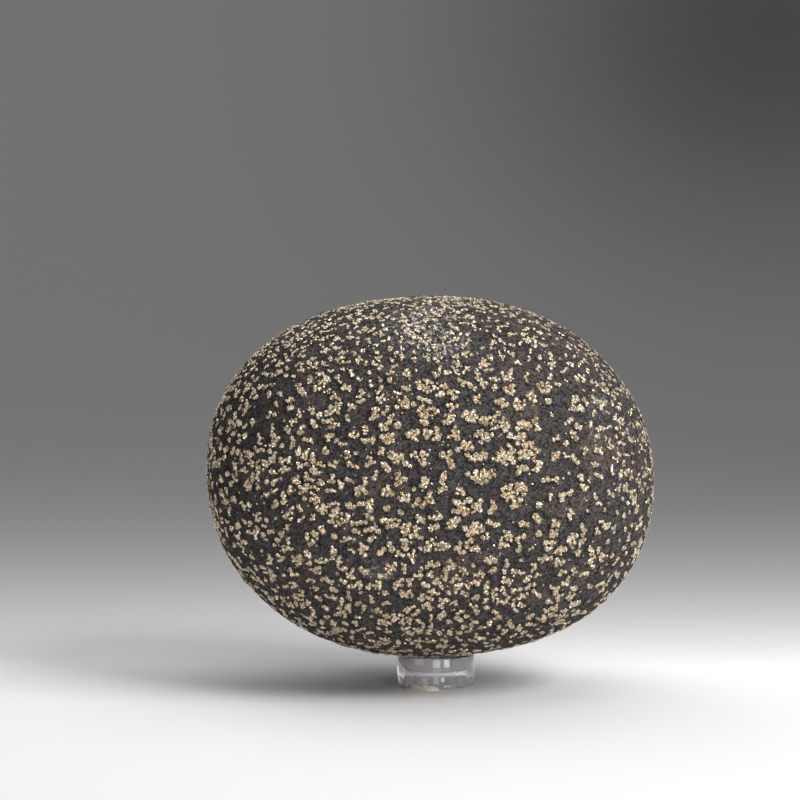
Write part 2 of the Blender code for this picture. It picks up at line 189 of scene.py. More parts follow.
def dress(piece: bpy.types.Object, slot: Slot, finish: bpy.types.Material, *nodes: str) -> None:
    """Gives a piece its finish, its body and the nodes that it stands for, and reports it.

    Args:
        piece: The piece.
        slot: The record's slot; not used.
        finish: Its material.
        nodes: The nodes that it replaces.
    """
    piece.data.materials.append(finish)
    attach(piece, "root")
    if nodes:
        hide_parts(*nodes)
    faces = sum(len(polygon.vertices) - 2 for polygon in piece.data.polygons)
    LOG.info("%s: %d points, %d triangles", piece.name, len(piece.data.vertices), faces)


class Wire:
    """A shader socket that adds Math nodes as it is used in an expression."""

    def __init__(self, shader: "Shader", socket: Socket) -> None:
        """Wraps a socket of this shader's tree."""
        self.shader = shader
        self.socket = socket

    def math(self, operation: str, *values: Any) -> "Wire":
        """Adds one Math node.

        Args:
            operation: The node's operation.
            values: Its inputs: numbers or wires.

        Returns:
            The node's output.
        """
        node = self.shader.node("ShaderNodeMath", {"operation": operation}, dict(enumerate(values)))
        return Wire(self.shader, node.outputs[0])

    def __add__(self, other: Any) -> "Wire":
        """Sum."""
        return self.math("ADD", self, other)

    def __radd__(self, other: Any) -> "Wire":
        """Sum, from the right."""
        return self.math("ADD", other, self)

    def __sub__(self, other: Any) -> "Wire":
        """Difference."""
        return self.math("SUBTRACT", self, other)

    def __rsub__(self, other: Any) -> "Wire":
        """Difference, from the right."""
        return self.math("SUBTRACT", other, self)

    def __mul__(self, other: Any) -> "Wire":
        """Product."""
        return self.math("MULTIPLY", self, other)

    def __rmul__(self, other: Any) -> "Wire":
        """Product, from the right."""
        return self.math("MULTIPLY", other, self)

    def rise(self, low: float, high: float) -> "Wire":
        """0 below low, 1 above high and a smooth rise between them."""
        limits = {"Value": self, "From Min": low, "From Max": high}
        node = self.shader.node("ShaderNodeMapRange", {"interpolation_type": "SMOOTHSTEP"}, limits)
        return Wire(self.shader, node.outputs[0])


class Shader:
    """A material's node tree, from its coordinates to its Principled BSDF."""

    def __init__(self, name: str) -> None:
        """Starts a new material of this name."""
        self.material = bpy.data.materials.new(name)
        self.material.use_nodes = True
        self.tree = self.material.node_tree
        self.surface = self.tree.nodes["Principled BSDF"]
        self.place = self.node("ShaderNodeTexCoord", {}, {}).outputs["Object"]

    def node(self, kind: str, settings: dict[str, Any], inputs: dict[Any, Any]) -> bpy.types.Node:
        """Adds a node, sets it up and connects it.

        Args:
            kind: The node's type.
            settings: Its properties, set first.
            inputs: Values, sockets or wires for its inputs, by name or number.

        Returns:
            The node.
        """
        made = self.tree.nodes.new(kind)
        for name, value in settings.items():
            setattr(made, name, value)
        for name, value in inputs.items():
            self.plug(made.inputs[name], value)
        return made

    def plug(self, socket: Socket, value: Any) -> None:
        """Sets an input to a value, or links it to a socket or a wire."""
        if isinstance(value, Wire):
            value = value.socket
        if isinstance(value, Socket):
            self.tree.links.new(value, socket)
        else:
            socket.default_value = value

    def noise(self, size: float, detail: float = 2, roughness: float = 0.5) -> Wire:
        """Noise on Object coordinates.

        Args:
            size: The size of its largest features, in metres.
            detail: How many finer layers it has.
            roughness: How strong they are.

        Returns:
            Numbers about 0.5.
        """
        inputs = {"Vector": self.place, "Scale": 1 / size, "Detail": detail, "Roughness": roughness}
        return Wire(self, self.node("ShaderNodeTexNoise", {}, inputs).outputs[0])

    def coordinates(self) -> tuple[Wire, Wire, Wire]:
        """X, Y and Z on the piece, in metres."""
        parts = self.node("ShaderNodeSeparateXYZ", {}, {0: self.place})
        return Wire(self, parts.outputs[0]), Wire(self, parts.outputs[1]), Wire(self, parts.outputs[2])

    def exponent(self, value: Wire) -> Wire:
        """The number e to this power."""
        return value.math("EXPONENT", value)

    def maximum(self, value: Wire, least: float) -> Wire:
        """The value, or the least one where it is below that."""
        return value.math("MAXIMUM", value, least)

    def attribute(self, name: str) -> Wire:
        """One of the piece's own attributes."""
        return Wire(self, self.node("ShaderNodeAttribute", {"attribute_name": name}, {}).outputs["Fac"])

    def mix(self, share: Any, low: Any, high: Any) -> Socket:
        """Mixes two colours.

        Args:
            share: 0 for the first, 1 for the second.
            low: The first: a colour or a socket.
            high: The second.

        Returns:
            The mixed colour's socket.
        """
        low, high = ((*c, 1.0) if isinstance(c, tuple) else c for c in (low, high))
        node = self.node("ShaderNodeMix", {"data_type": "RGBA"}, {0: share, 6: low, 7: high})
        return node.outputs[2]

    def cells(self, size: float) -> tuple[Wire, Socket]:
        """Random cells on Object coordinates.

        Args:
            size: How far apart their middles are, in metres.

        Returns:
            The distance from a cell's middle, and each cell's own random colour.
        """
        inputs = {"Vector": self.place, "Scale": 1 / size}
        made = self.node("ShaderNodeTexVoronoi", {}, inputs)
        return Wire(self, made.outputs["Distance"]), made.outputs["Color"]

    def red(self, colour: Socket) -> Wire:
        """A colour's red part."""
        return Wire(self, self.node("ShaderNodeSeparateColor", {}, {0: colour}).outputs[0])

    def vector(self, operation: str, inputs: dict[Any, Any]) -> Socket:
        """Adds one Vector Math node."""
        return self.node("ShaderNodeVectorMath", {"operation": operation}, inputs).outputs[0]

    def tilt(self, normal: Socket, colour: Socket, amount: float) -> Socket:
        """Turns the normal of each cell its own way, so that the cells glint as facets.

        Args:
            normal: The normal to turn.
            colour: The cells' random colours.
            amount: How far they turn at most, as a share of the normal's length.

        Returns:
            The turned normal.
        """
        half = self.vector("SUBTRACT", {0: colour, 1: (0.5, 0.5, 0.5)})
        shift = self.vector("SCALE", {0: half, "Scale": 2 * amount})
        return self.vector("NORMALIZE", {0: self.vector("ADD", {0: normal, 1: shift})})

    def bump(self, height: Wire, depth: float, before: Any = None) -> Socket:
        """A bump of this depth in metres, after another normal if there is one."""
        inputs = {"Height": height, "Distance": depth, "Strength": 1.0}
        if before is not None:
            inputs["Normal"] = before
        return self.node("ShaderNodeBump", {}, inputs).outputs[0]

    def frost(self, share: Wire, colour: Colour) -> None:
        """Lays a dull white over part of the surface.

        Args:
            share: 0 for none of it, 1 for all.
            colour: The white.
        """
        dull = self.node("ShaderNodeBsdfDiffuse", {}, {"Color": (*colour, 1.0)}).outputs[0]
        mixed = self.node("ShaderNodeMixShader", {}, {0: share, 1: self.surface.outputs[0], 2: dull})
        self.plug(self.tree.nodes["Material Output"].inputs["Surface"], mixed.outputs[0])

    def finish(self, **values: Any) -> bpy.types.Material:
        """Sets the surface's inputs, with _ for a space in their names.

        Args:
            values: Values, sockets or wires.

        Returns:
            The material.
        """
        for name, value in values.items():
            value = (*value, 1.0) if isinstance(value, tuple) and len(value) == 3 else value
            self.plug(self.surface.inputs[name.replace("_", " ")], value)
        return self.material


@dataclass(frozen=True)
class ShaleFinish:
    """Dark sandy shale: charcoal grains, browner patches, flaky layers with painted shadow along their
    broken edges, and pale dust.
    """

    dark: Colour = (0.013, 0.0118, 0.0116)
    pale: Colour = (0.108, 0.098, 0.096)
    brown: Colour = (0.170, 0.128, 0.104)
    dust: Colour = (0.50, 0.49, 0.50)
    grain: float = 0.25 * MM
    patch: float = 9 * MM
    layer: float = 1.5 * MM
    # The painted shadow under the layers' broken edges
    painted_ledge_shadow: Colour = (0.0035, 0.003, 0.0028)

    def make(self) -> bpy.types.Material:
        """The material."""
        shader = Shader("dark shale")
        _, sand = shader.cells(self.grain)
        coarse = shader.noise(5 * self.grain, detail=5, roughness=0.8)
        patch = shader.noise(self.patch, detail=4, roughness=0.6)
        speckle = (shader.red(sand) * 0.55 + coarse.rise(0.32, 0.68) * 0.5).rise(0.05, 1.0)
        colour = shader.mix(speckle, self.dark, self.pale)
        colour = shader.mix(patch.rise(0.50, 0.70) * speckle * 0.8, colour, self.brown)
        flecks = shader.noise(0.9 * MM, detail=5, roughness=0.75).rise(0.50, 0.60)
        colour = shader.mix(shader.attribute("dust") * flecks, colour, self.dust)
        _, y, _ = shader.coordinates()
        layers = y * (1 / self.layer) + patch * 3.0 + coarse * 0.15
        ledge = layers.math("FRACT", layers)
        flaky = shader.attribute("flaky")
        # Dark lines where the layers break off towards the rim are painted shadow under the ledges; the
        # same mask also cuts the cracks into the bump.
        crack_and_shadow = ledge.rise(0.84, 0.95) * flaky * patch.rise(0.44, 0.54)
        colour = shader.mix(crack_and_shadow * 0.9, colour, self.painted_ledge_shadow)
        relief = shader.bump(coarse * 1.4 + (ledge * ledge - crack_and_shadow) * flaky, 0.34 * MM)
        return shader.finish(
            Base_Color=colour, Roughness=0.90 - speckle * 0.2, Specular_IOR_Level=0.1,
            Normal=shader.tilt(relief, sand, 0.4),
        )


@dataclass(frozen=True)
class PyriteFinish:
    """Pale brass pyrite: a crust of tiny crystals, with painted shade of dark olive brown at the nodules'
    feet and along the crystals' edges.
    """

    painted_pit_shade: Colour = (0.055, 0.038, 0.020)
    brass: Colour = (0.76, 0.585, 0.37)
    bright: Colour = (0.93, 0.835, 0.69)
    crystal: float = 0.27 * MM
    roughness: float = 0.34

    def make(self) -> bpy.types.Material:
        """The material."""
        shader = Shader("pyrite")
        rise = shader.attribute("rise")
        tone = shader.attribute("tone")
        away, facets = shader.cells(self.crystal)
        worn = shader.noise(2.4 * MM, detail=2)
        glint = shader.red(facets)
        # Random tone and wear shift the brass towards the bright colour, and each crystal's own random
        # number lifts some crystals further: painted glints.
        colour = shader.mix((tone * 0.3 + worn * 0.4 + glint * 0.5).rise(0.3, 1.0), self.brass, self.bright)
        # Painted shade: darker towards each crystal's edge, and dark olive brown low on each nodule, at its
        # foot.
        crystal_edge_shading = away.rise(0.66, 0.40) * 0.6 + 0.4
        colour = shader.mix(rise.rise(0.02, 0.62) * crystal_edge_shading, self.painted_pit_shade, colour)
        geometry = shader.node("ShaderNodeNewGeometry", {}, {}).outputs["Normal"]
        return shader.finish(
            Base_Color=colour, Metallic=0.8, Roughness=self.roughness - 0.1 + tone * 0.2,
            Normal=shader.tilt(geometry, facets, 0.55),
        )


@dataclass(frozen=True)
class AcrylicFinish:
    """Clear acrylic: polished walls with a faint haze, and a dull bevel with fine turned lines."""

    tint: Colour = (0.93, 0.92, 0.93)
    white: Colour = (0.95, 0.93, 0.94)
    line: float = 0.17 * MM

    def make(self) -> bpy.types.Material:
        """The material: sines of the height are the lines that the tool left."""
        shader = Shader("clear acrylic")
        scuffs = shader.noise(1.1 * MM, detail=3)
        turned = shader.attribute("turned")
        _, _, z = shader.coordinates()
        phase = z * (2 * math.pi / self.line) + scuffs * 2.0
        lines = phase.math("SINE", phase) * 0.16 + 0.8
        shader.frost(turned * lines, self.white)
        return shader.finish(
            Base_Color=self.tint, Roughness=0.03 + scuffs * 0.05 + turned * 0.25, IOR=1.49,
            Transmission_Weight=0.88,
        )


@dataclass(frozen=True)
class PuttyFinish:
    """Beige mounting putty, dull and a little dirty."""

    low: Colour = (0.66, 0.56, 0.43)
    high: Colour = (0.93, 0.86, 0.74)

    def make(self) -> bpy.types.Material:
        """The material."""
        shader = Shader("putty")
        dirt = shader.noise(0.8 * MM, detail=4, roughness=0.6)
        return shader.finish(
            Base_Color=shader.mix(dirt.rise(0.35, 0.65), self.low, self.high), Roughness=0.62 + dirt * 0.2,
            Normal=shader.bump(dirt, 0.12 * MM), Subsurface_Weight=0.1, Subsurface_Scale=0.5 * MM,
        )


@dataclass
class Stone:
    """The oval stone: its smooth form, its bedding steps and its unevenness, as in the solids."""

    half_width: float = 46.0 * MM
    half_depth: float = 30.6 * MM
    half_height: float = 37.0 * MM
    outline_power: float = 2.14
    section_power: float = 2.5
    lean: float = math.radians(-2.5)
    swell: float = 0.35 * MM
    swell_corner: float = math.radians(60)
    bed_wander: float = 0.55 * MM
    bed_edge: float = 0.13 * MM
    bed_recovery: float = 3.2 * MM
    unevenness: float = 0.11 * MM
    uneven_wave: float = 9 * MM
    flake_layer: float = 1.5 * MM
    flake_height: float = 0.16 * MM
    # The height and the size of each fine noise
    lumps: tuple[tuple[float, float], ...] = (
        (0.055 * MM, 2.1 * MM), (0.050 * MM, 1.1 * MM), (0.045 * MM, 0.6 * MM),
    )
    grid: int = 122
    middle: float = 0.0
    # Each bed: its place in Y, the middle and half of its stretch round the rim in degrees, its step
    beds: tuple[tuple[float, float, float, float], ...] = (
        (-17.1, -38, 36, 0.52), (-13.4, -52, 26, 0.38), (-9.3, -46, 44, 0.52), (-15.5, 2, 17, 0.36),
        (-12.1, 38, 34, 0.34), (-6.8, 18, 50, 0.38), (-16.1, 66, 20, 0.28), (-9.8, 208, 36, 0.32),
        (-4.4, 165, 44, 0.34), (4.6, 84, 62, 0.36), (7.1, 262, 50, 0.38), (12.3, 350, 60, 0.42),
        (16.3, 196, 58, 0.38),
    )

    def bare_radius(self, u: Array) -> Array:
        """Distance from the stone's middle to its smooth form.

        In X and Z it is an oval whose two terms are raised to its power. The oval and Y are joined by
        a second power, and a cosine of four turns swells the oval a little.

        Args:
            u: Unit vectors.

        Returns:
            The distance along each.
        """
        x = u[..., 0] * math.cos(self.lean) + u[..., 2] * math.sin(self.lean)
        z = -u[..., 0] * math.sin(self.lean) + u[..., 2] * math.cos(self.lean)
        power = self.outline_power
        oval = np.abs(x / self.half_width) ** power + np.abs(z / self.half_height) ** power
        depth = np.abs(u[..., 1] / self.half_depth)
        section = oval ** (self.section_power / power) + depth**self.section_power
        radius = section ** (-1 / self.section_power)
        girth = 1 - u[..., 1] ** 2
        turn = np.arctan2(u[..., 2], u[..., 0])
        return radius + self.swell * girth**2 * np.cos(4 * (turn - self.swell_corner))

    def onto(self, points: Array) -> Array:
        """The points moved along their own directions onto the smooth form."""
        u = unit(points)
        return u * self.bare_radius(u)[..., None]

    def front_point(self, x: float, z: float) -> Array:
        """The point of the broad face at this x and z."""
        rim = self.onto(np.array((x, 0.0, z)))
        share = math.hypot(x, z) / math.sqrt(rim @ rim)
        depth = max(0.0, 1 - share**self.section_power) ** (1 / self.section_power)
        return self.onto(np.array((x, -self.half_depth * depth, z)))

    def seen_point(self, right: float, up: float) -> Array:
        """The point of the broad face that is seen this far to the right and this high.

        The line of sight through that place is halved until its point lies on the smooth form.

        Args:
            right: How far to the right of the middle, in metres.
            up: How high above the middle.

        Returns:
            The point.
        """
        rise = CAMERA_RISE
        eye = CAMERA_DISTANCE * np.array((0, -math.cos(rise), math.sin(rise)))
        target = np.array((right, up * math.sin(rise), up * math.cos(rise)))
        near, far = 0.0, 2 * self.half_depth / CAMERA_DISTANCE
        for _ in range(24):
            middle = (near + far) / 2
            point = target + middle * (eye - target)
            if np.linalg.norm(point) < self.bare_radius(unit(point)):
                near = middle
            else:
                far = middle
        return point

    def wander(self, turn: Array, index: int) -> Array:
        """How far a bedding plane wanders in Y at this angle: two sines of three and eight turns."""
        waves = 0.6 * np.sin(3 * turn + 1.7 * index) + 0.4 * np.sin(8 * turn + 2.9 * index)
        return self.bed_wander * waves

    @staticmethod
    def strength(turn: Array, middle: float, half: float) -> Array:
        """1 amid a bedding plane's stretch of rim, fading to 0 at its ends."""
        away = np.abs((np.degrees(turn) - middle + 180) % 360 - 180)
        return 1 - ramp(away, 0.6 * half, half)

    def surface_radius(self, u: Array, without: int = -1) -> Array:
        """The smooth form less its bedding steps, plus a product of sines for its unevenness.

        Args:
            u: Unit vectors.
            without: A bed that is left out.

        Returns:
            The distance along each.
        """
        radius = self.bare_radius(u)
        points = u * radius[..., None]
        turn = np.arctan2(u[..., 2], u[..., 0])
        for index, (level, middle, half, step) in enumerate(self.beds):
            if index == without:
                continue
            towards_rim = points[..., 1] + self.wander(turn, index) - level * MM
            if level > 0:
                towards_rim = -towards_rim
            drop = ramp(towards_rim, -self.bed_edge, self.bed_edge)
            drop = drop * (1 - ramp(towards_rim, self.bed_edge, self.bed_recovery))
            radius = radius - step * MM * drop * self.strength(turn, middle, half)
        waves = points / self.uneven_wave
        uneven = (
            np.sin(waves[..., 0] * 1.3 + 2.1 * np.sin(waves[..., 2]))
            * np.sin(waves[..., 2] * 1.1 + 1.7 * np.sin(waves[..., 1] + 1.0))
            * np.cos(waves[..., 1] * 0.9 + 0.8 * np.sin(waves[..., 0]))
        )
        return radius + self.unevenness * uneven

    def relief(self, points: Array) -> Array:
        """Fine lumps and pits: three noises of falling size, and thin flakes towards the rim."""
        lumps = np.zeros(points.shape[:-1])
        for seed, (height, size) in enumerate(self.lumps, 1):
            lumps += height * lattice_noise(points, size, seed)
        layer = points[..., 1] / self.flake_layer + 1.3 * lattice_noise(points, 6 * MM, 4)
        edge = layer - np.floor(layer)
        flakes = self.flake_height * (edge - 0.5) * ramp(lattice_noise(points, 5 * MM, 5), -0.3, 0.4)
        return lumps + self.flaky(points) * flakes

    def skin(self, u: Array) -> Array:
        """Points of the finished surface along unit vectors, from the stone's middle."""
        base = u * self.surface_radius(u)[..., None]
        return base + u * self.relief(base)[..., None]

    def normal(self, points: Array) -> Array:
        """Outward normals of the smooth form, without its lean and swell.

        They are the slopes of its formula: X and Z over their sizes squared, times the oval to the
        section's power less two, and Y over its size to the section's power less one.
        """
        sizes = np.array((self.half_width, self.half_depth, self.half_height))
        share = points / sizes
        oval = np.hypot(share[..., 0], share[..., 2]) ** (self.section_power - 2)
        slopes = share * np.stack([oval, np.abs(share[..., 1]) ** (self.section_power - 2), oval], axis=-1)
        return unit(slopes / sizes)

    def proudness(self, points: Array) -> Array:
        """How far the pyrite stands out, as a share: it is flush towards the rim."""
        return 1 - 0.45 * ramp(self.nearness(points), 0.7, 0.94)

    def make(self, finish: bpy.types.Material) -> bpy.types.Object:
        """Builds the stone from the six sides of a cube, each a grid of two parameters.

        A point's direction is the cube side's normal plus the tangents of both parameters, stretched
        by the stone's half sizes, and its distance is the finished surface's.

        Args:
            finish: The shale.

        Returns:
            The piece.
        """
        steps = np.tan(np.linspace(-1, 1, self.grid + 1) * math.pi / 4)
        across, along = np.meshgrid(steps, steps, indexing="ij")
        sides = []
        for axis, sign in itertools.product(range(3), (-1, 1)):
            side = np.empty((*across.shape, 3))
            side[..., axis] = sign
            side[..., (axis + 1) % 3] = across if sign > 0 else -across
            side[..., (axis + 2) % 3] = along
            sides.append(side.reshape(-1, 3))
        directions = np.concatenate(sides)
        keys = np.round(directions * 1e6).astype(np.int64)
        _, first, index = np.unique(keys, axis=0, return_index=True, return_inverse=True)
        index = index.reshape(6, self.grid + 1, self.grid + 1)
        near, far = index[:, :, :-1], index[:, :, 1:]
        quads = np.stack([near[:, :-1], near[:, 1:], far[:, 1:], far[:, :-1]], axis=-1)
        stretched = directions[first] * (self.half_width, self.half_depth, self.half_height)
        points = self.skin(unit(stretched))
        piece = add_mesh("stone_matrix", points + (0, 0, self.middle), [quads.reshape(-1, 4)], smooth=True)
        set_attribute(piece, "dust", self.dust(points))
        set_attribute(piece, "flaky", self.flaky(points))
        dress(piece, Slot.SHALE, finish, "concretion")
        return piece

    def nearness(self, points: Array) -> Array:
        """How near the rim the points lie: 0 in the middle of a broad face, about 1 at the rim."""
        return np.hypot(points[..., 0] / self.half_width, points[..., 2] / self.half_height)

    def flaky(self, points: Array) -> Array:
        """Where the layers crop out: a rise from the broad faces towards the rim."""
        return ramp(self.nearness(points), 0.70, 0.92)

    @staticmethod
    def dust(points: Array) -> Array:
        """Where pale dust lies: two patches near the crown, one at the right and a spot low down."""
        front = ramp(-points[..., 1], 0, 6 * MM)
        crown = 1.2 * hill(points, -1.5, 32, 6, 3.4) + 1.1 * hill(points, 1.8, 28.5, 4.4, 2.6)
        right = 0.8 * hill(points, 33.6, 16.5, 1.3, 2.4) + 0.7 * hill(points, 32.6, 9.7, 1, 2)
        low = 1.1 * hill(points, -10, -16, 2.4, 1)
        return np.clip(crown + right + low, 0, 1) * front


@dataclass
class BeddingLips:
    """Thin crisp edges of shale that overhang the bedding steps."""

    stone: Stone
    spacing: float = 0.24 * MM
    sunk: float = 0.5 * MM
    # The lip's section, in millimetres: towards the rim, and outwards
    section: tuple[tuple[float, float], ...] = (
        (-1.7, -0.22), (-1.0, 0.0), (-0.4, 0.10), (0.05, 0.15),
        (0.2, 0.08), (0.1, -0.06), (-0.3, -0.45), (-1.3, -0.5),
    )

    def path(self, index: int) -> tuple[Array, Array]:
        """The line where a bedding plane meets the smooth form.

        Along each angle round the rim, the slope out of the stone's middle plane is corrected a few
        times until the point's Y is the plane's own, with its wander.

        Args:
            index: Which bed.

        Returns:
            The points, and the angle of each.
        """
        level, middle, half, _ = self.stone.beds[index]
        steps = int(math.radians(2 * half) * self.stone.half_height / self.spacing)
        turn = np.radians(np.linspace(middle - half, middle + half, steps))
        place = level * MM - self.stone.wander(turn, index)
        slope = np.zeros(steps)
        for _ in range(12):
            flat = np.cos(slope)
            u = np.stack([flat * np.cos(turn), np.sin(slope), flat * np.sin(turn)], axis=-1)
            slope = np.arcsin(np.clip(place / self.stone.bare_radius(u), -0.99, 0.99))
        return u * self.stone.bare_radius(u)[:, None], turn

    def lip(self, index: int) -> tuple[Array, Array, Array]:
        """One lip: the section carried along its path, sunk at the ends and where it is broken off.

        Args:
            index: Which bed.

        Returns:
            Points, the quads along the lip, and the triangles that close its ends, each of which
            comes to one point inside the stone.
        """
        level, middle, half, _ = self.stone.beds[index]
        path, turn = self.path(index)
        out = self.stone.normal(path)
        along = unit(np.gradient(path, axis=0))
        rimward = np.cross(along, out)
        rimward *= np.sign(-level * rimward[:, 1])[:, None]
        shape = np.array(self.section) * MM
        ragged = 0.34 * MM * lattice_noise(path, 1.7 * MM, 31 + index)
        ragged += 0.20 * MM * lattice_noise(path, 0.6 * MM, 51 + index)
        broken = ramp(lattice_noise(path, 4.5 * MM, 71 + index), -0.42, -0.10)
        kept = ramp(self.stone.strength(turn, middle, half), 0.05, 0.5) * broken
        kept[[0, -1]] = 0
        wide = np.ones(len(path))
        wide[[0, -1]] = 0
        offset = (shape[None, :, 0] + ragged[:, None]) * wide[:, None]
        place = unit(path[:, None] + offset[..., None] * rimward[:, None])
        radius = self.stone.surface_radius(place, without=index)
        level_points = place * radius[..., None]
        radius = radius + self.stone.relief(level_points)
        lift = shape[None, :, 1] * wide[:, None] - self.sunk * (1 - kept)[:, None]
        points = place * radius[..., None] + lift[..., None] * out[:, None]
        corners = len(shape)
        points = points.reshape(-1, 3)[corners - 1 : (len(path) - 1) * corners + 1]
        one = np.arange(corners)
        two = np.roll(one, -1)
        here = 1 + (np.arange(len(path) - 3) * corners)[:, None]
        quads = np.stack([here + one, here + two, here + corners + two, here + corners + one], axis=-1)
        last = 1 + (len(path) - 3) * corners
        near_end = np.stack([0 * one, 1 + two, 1 + one], axis=-1)
        far_end = np.stack([last + one, last + two, 0 * one + len(points) - 1], axis=-1)
        quads, ends = quads.reshape(-1, 4), np.concatenate([near_end, far_end])
        if level > 0:
            quads, ends = quads[:, ::-1], ends[:, ::-1]
        return points, quads, ends

    def make(self, finish: bpy.types.Material) -> bpy.types.Object:
        """Builds all the lips as one piece.

        Args:
            finish: The shale.

        Returns:
            The piece.
        """
        points, quads, ends, count = [], [], [], 0
        for index in range(len(self.stone.beds)):
            some, sides, tips = self.lip(index)
            points.append(some)
            quads.append(sides + count)
            ends.append(tips + count)
            count += len(some)
        joined = np.concatenate(points)
        faces = [np.concatenate(quads), np.concatenate(ends)]
        piece = add_mesh("bedding_lips", joined + (0, 0, self.stone.middle), faces, smooth=True)
        piece.data.set_sharp_from_angle(angle=math.radians(35))
        set_attribute(piece, "dust", np.zeros(len(joined)))
        set_attribute(piece, "flaky", self.stone.flaky(joined))
        dress(piece, Slot.SHALE, finish)
        return piece


@dataclass
class Growth:
    """Nodules in the order they grew, by the same rules and draws as the solids' lumps."""

    stone: Stone
    ring_x: float
    seed: int = 42
    nodule_radius: float = 0.41 * MM
    nodule_spread: float = 0.34 * MM
    seed_spacing: float = 2.82 * MM
    cluster_gap: float = 0.16 * MM
    neighbour_reach: float = 8 * MM
    patch_radius: float = 8.8 * MM
    patch_height: float = -35.9 * MM
    lone_growth: float = 1.3
    swerve: float = 4.6
    turning_back: float = 0.4
    bud_step: float = 0.8
    cluster_overlap: float = 0.66
    tries: int = 8
    darts: int = 14000
    room: int = 24000
    # Large clusters of the broad face as they are seen: right, up, width, height in millimetres
    landmarks: tuple[tuple[float, float, float, float], ...] = (
        (15.4, 4.0, 6.0, 5.4), (20.3, 5.0, 5.0, 4.8), (9.8, 3.9, 5.4, 2.6), (10.6, 0.0, 7.2, 3.4),
        (17.2, -3.7, 6.2, 5.8), (14.3, 10.9, 4.8, 4.6), (11.1, 8.4, 4.6, 3.6), (19.2, 10.2, 3.6, 2.6),
        (18.4, 14.6, 3.4, 3.0), (20.9, 16.2, 3.4, 3.2), (23.6, 18.2, 3.8, 3.0), (16.3, 17.8, 3.4, 2.4),
        (13.2, 18.0, 1.9, 2.1), (14.4, 14.9, 3.4, 2.1), (-0.3, 18.4, 7.2, 3.2), (4.8, 17.0, 3.0, 3.0),
        (9.6, 15.8, 2.6, 2.4), (-5.4, 14.7, 5.0, 3.2), (-0.7, 12.8, 5.4, 4.4), (4.6, 14.1, 2.7, 2.5),
        (1.4, 8.4, 2.2, 3.1), (-3.4, 8.4, 3.0, 3.0), (-8.6, 7.6, 3.7, 3.1), (-1.9, 3.7, 4.3, 3.4),
        (-7.1, 3.7, 3.7, 3.0), (-6.3, -0.8, 3.0, 4.0), (-1.3, -1.3, 2.2, 3.0), (-8.2, -9.7, 5.3, 2.9),
        (-18.9, -8.6, 5.4, 4.5), (4.8, -9.8, 3.4, 3.2), (0.8, -14.6, 7.0, 2.9), (9.4, -15.2, 2.8, 2.0),
        (0.4, -18.3, 3.3, 2.2), (6.7, -19.8, 2.6, 2.2), (29.2, -13.2, 3.0, 3.8), (24.5, -14.2, 3.0, 3.0),
        (25.3, -28.7, 2.4, 1.8), (31.2, -0.2, 2.0, 2.2), (40.4, -2.4, 1.6, 2.6), (-31.4, -13.3, 1.8, 2.0),
    )
    points: Array = field(init=False)
    radii: Array = field(init=False)
    count: int = field(init=False, default=0)

    def __post_init__(self) -> None:
        """Grows the landmarks first, then a cluster from each scattered seed."""
        self.points = np.empty((self.room, 3))
        self.radii = np.empty(self.room)
        rng = np.random.RandomState(self.seed)
        for landmark in self.landmarks:
            self.grow_landmark(rng, *landmark)
        for seed in self.scattered_seeds(rng):
            self.grow_cluster(rng, seed)
        self.points = self.points[: self.count]
        self.radii = self.radii[: self.count]

    @staticmethod
    def coarseness(points: Array) -> Array:
        """Size of the nodules: largest amid each broad face, finest at the crown and the right end."""
        front = ramp(-points[..., 1], -5 * MM, 5 * MM)
        amid = hill(points, 7, 4, 24, 18) * front + hill(points, -10, 3, 22, 20) * (1 - front)
        crown = ramp(points[..., 2], 17 * MM, 29 * MM)
        heel = ramp(-points[..., 2], 16 * MM, 30 * MM)
        right = ramp(points[..., 0], 24 * MM, 38 * MM) * ramp(points[..., 2], -18 * MM, 0)
        left = ramp(-points[..., 0], 16 * MM, 34 * MM)
        face = 0.67 + 0.29 * amid
        return face * (1 - 0.4 * crown) * (1 - 0.12 * heel) * (1 - 0.36 * right) * (1 - 0.14 * left)

    @staticmethod
    def sparseness(points: Array) -> Array:
        """Spacing of the clusters: wide at the right and the foot, close on the crown and the left."""
        front = ramp(-points[..., 1], -5 * MM, 5 * MM)
        bald = 0.40 * hill(points, 25, 27, 16, 10) + 0.22 * hill(points, 34, -10, 11, 15)
        bald += 0.16 * hill(points, 10, -36, 30, 6)
        lush = 0.14 * hill(points, -4, 30, 20, 9) + 0.18 * hill(points, -24, 1, 17, 14)
        lush += 0.12 * hill(points, -2, -23, 26, 7)
        return 1 + (bald - lush) * front

    def on_patch(self, point: Array) -> bool:
        """True where the ring holds the stone."""
        near = math.hypot(point[0] - self.ring_x, point[1]) < self.patch_radius
        return near and point[2] < self.patch_height

    def add(self, point: Array, radius: float) -> None:
        """Adds a nodule."""
        self.points[self.count] = point
        self.radii[self.count] = radius
        self.count += 1

    def meets(self, rows: Any, point: Array, radius: float, share: float = 1.0, gap: float = 0.0) -> bool:
        """True where a nodule would come nearer to one of these rows than their radii allow.

        Args:
            rows: Which nodules are looked at.
            point: Where the new one would sit.
            radius: Its radius.
            share: How much of the sum of the radii must lie between them.
            gap: What must lie between them besides.

        Returns:
            Whether one is too near.
        """
        away = np.linalg.norm(self.points[rows] - point, axis=1)
        return bool((away < (self.radii[rows] + radius) * share + gap).any())

